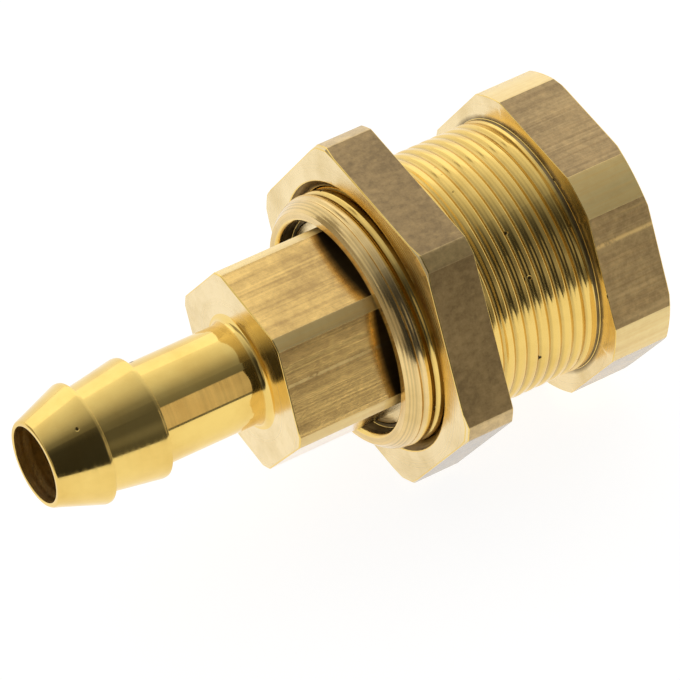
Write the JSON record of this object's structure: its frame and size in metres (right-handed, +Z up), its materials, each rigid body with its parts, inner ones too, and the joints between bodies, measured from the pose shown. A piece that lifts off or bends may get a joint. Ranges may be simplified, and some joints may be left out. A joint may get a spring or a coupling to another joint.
{
  "type": "panel-mount air quick coupler with hose tail",
  "caption": "Brass compressed-air quick coupler socket for a panel: hex body with threaded barrel and lock nut, push-in release sleeve, ball lock, shut-off valve and barbed hose tail.",
  "frame": {"origin": "on the axis, in the rear face of the body's hexagon, which seats on the panel", "axes": "+X along the axis towards the plug's mouth, the hose tail points to -X, +Z up with a flat of each large hexagon facing down"},
  "size_m": [0.048, 0.027, 0.024],
  "materials": {
    "brass_bar": "drawn and turned",
    "brass_turned": "turned",
    "seal_rubber": "satin",
    "spring_steel": "drawn wire",
    "ball_steel": "polished"
  },
  "bodies": {
    "coupler_body": {"body": "brass_bar", "hose_tail": "brass_bar", "socket_core": "brass_turned", "tail_seal": "seal_rubber", "plug_seal": "seal_rubber", "retaining_ring": "spring_steel", "valve_spring": "spring_steel", "sleeve_spring": "spring_steel"},
    "lock_nut": {"lock_nut": "brass_bar"},
    "release_sleeve": {"release_sleeve": "brass_turned"},
    "valve": {"valve_poppet": "brass_turned", "valve_seal": "seal_rubber"},
    "ball_1": {"locking_ball_1": "ball_steel"},
    "ball_2": {"locking_ball_2": "ball_steel"},
    "ball_3": {"locking_ball_3": "ball_steel"},
    "ball_4": {"locking_ball_4": "ball_steel"},
    "ball_5": {"locking_ball_5": "ball_steel"},
    "ball_6": {"locking_ball_6": "ball_steel"}
  },
  "joints": [
    {"name": "nut_run", "type": "slide", "parent": "coupler_body", "child": "lock_nut", "axis": [1, 0, 0], "range_m": [-0.006, 0.0098]},
    {"name": "sleeve_push", "type": "slide", "parent": "coupler_body", "child": "release_sleeve", "axis": [-1, 0, 0], "range_m": [0, 0.0012], "stiffness_N_per_m": 800, "springref_m": -0.003, "deforming": ["sleeve_spring"]},
    {"name": "valve_push", "type": "slide", "parent": "coupler_body", "child": "valve", "axis": [-1, 0, 0], "range_m": [0, 0.0025], "stiffness_N_per_m": 600, "springref_m": -0.003, "deforming": ["valve_spring"]},
    {"name": "ball_1_lift", "type": "slide", "parent": "coupler_body", "child": "ball_1", "axis": [0, 1, 0], "range_m": [0, 0.00043]},
    {"name": "ball_2_lift", "type": "slide", "parent": "coupler_body", "child": "ball_2", "axis": [0, 0.5, 0.866], "range_m": [0, 0.00043]},
    {"name": "ball_3_lift", "type": "slide", "parent": "coupler_body", "child": "ball_3", "axis": [0, -0.5, 0.866], "range_m": [0, 0.00043]},
    {"name": "ball_4_lift", "type": "slide", "parent": "coupler_body", "child": "ball_4", "axis": [0, -1, 0], "range_m": [0, 0.00043]},
    {"name": "ball_5_lift", "type": "slide", "parent": "coupler_body", "child": "ball_5", "axis": [0, -0.5, -0.866], "range_m": [0, 0.00043]},
    {"name": "ball_6_lift", "type": "slide", "parent": "coupler_body", "child": "ball_6", "axis": [0, 0.5, -0.866], "range_m": [0, 0.00043]}
  ],
  "couplings": [
    {"joint": "ball_1_lift", "follows": "sleeve_push", "ratio": 0.35},
    {"joint": "ball_2_lift", "follows": "sleeve_push", "ratio": 0.35},
    {"joint": "ball_3_lift", "follows": "sleeve_push", "ratio": 0.35},
    {"joint": "ball_4_lift", "follows": "sleeve_push", "ratio": 0.35},
    {"joint": "ball_5_lift", "follows": "sleeve_push", "ratio": 0.35},
    {"joint": "ball_6_lift", "follows": "sleeve_push", "ratio": 0.35}
  ]
}
